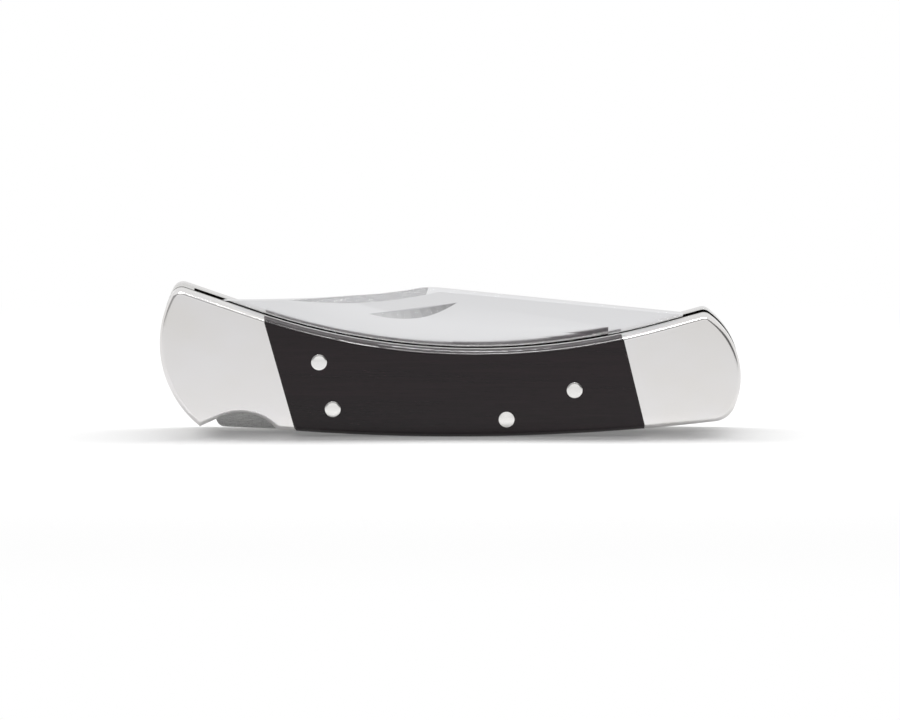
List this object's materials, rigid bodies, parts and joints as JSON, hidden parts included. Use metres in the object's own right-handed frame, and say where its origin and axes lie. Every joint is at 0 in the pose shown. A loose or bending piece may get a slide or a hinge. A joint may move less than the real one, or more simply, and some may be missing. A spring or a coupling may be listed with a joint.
{
  "type": "folding pocket knife",
  "caption": "Lock-back folding pocket knife with polished metal bolsters, dark wood scales, a clip blade with a nail nick and a rocking lock bar in the back.",
  "frame": {"origin": "under the middle of the closed knife, on the surface that its back stands on", "axes": "+X from the butt to the pivot end, +Y from the front side with the nail nick to the back side, +Z from the back up to the blade's spine"},
  "size_m": [0.124, 0.0166, 0.0316],
  "materials": {
    "bolster_metal": "polished nickel silver",
    "liner_metal": "satin nickel silver",
    "pin_metal": "polished",
    "blade_steel": "fine polished stainless steel",
    "lock_steel": "satin ground steel",
    "bushing_bronze": "plain bearing bronze",
    "dark_wood": "smooth oiled dark hardwood"
  },
  "bodies": {
    "handle": {"front_liner": "liner_metal", "back_liner": "liner_metal", "front_butt_bolster": "bolster_metal", "back_butt_bolster": "bolster_metal", "front_pivot_bolster": "bolster_metal", "back_pivot_bolster": "bolster_metal", "front_scale": "dark_wood", "back_scale": "dark_wood", "front_scale_rivets": "pin_metal", "back_scale_rivets": "pin_metal", "front_bolster_pins": "pin_metal", "back_bolster_pins": "pin_metal", "butt_bolster_pins": "bolster_metal", "pivot_pin": "bolster_metal", "rocker_pin": "pin_metal", "pivot_bushing": "bushing_bronze", "lock_spring": "lock_steel", "butt_spacer": "liner_metal"},
    "blade": {"blade": "blade_steel"},
    "lock_bar": {"lock_bar": "lock_steel"}
  },
  "joints": [
    {"name": "blade_pivot", "type": "hinge", "parent": "handle", "child": "blade", "pos_m": [0.05, 0, 0.0142], "axis": [0, 1, 0], "range_deg": [0, 168]},
    {"name": "lock_rocker", "type": "hinge", "parent": "handle", "child": "lock_bar", "pos_m": [0.012, 0, 0.0038], "axis": [0, 1, 0], "range_deg": [-1.2, 1.2], "stiffness_Nm_per_rad": 1}
  ]
}
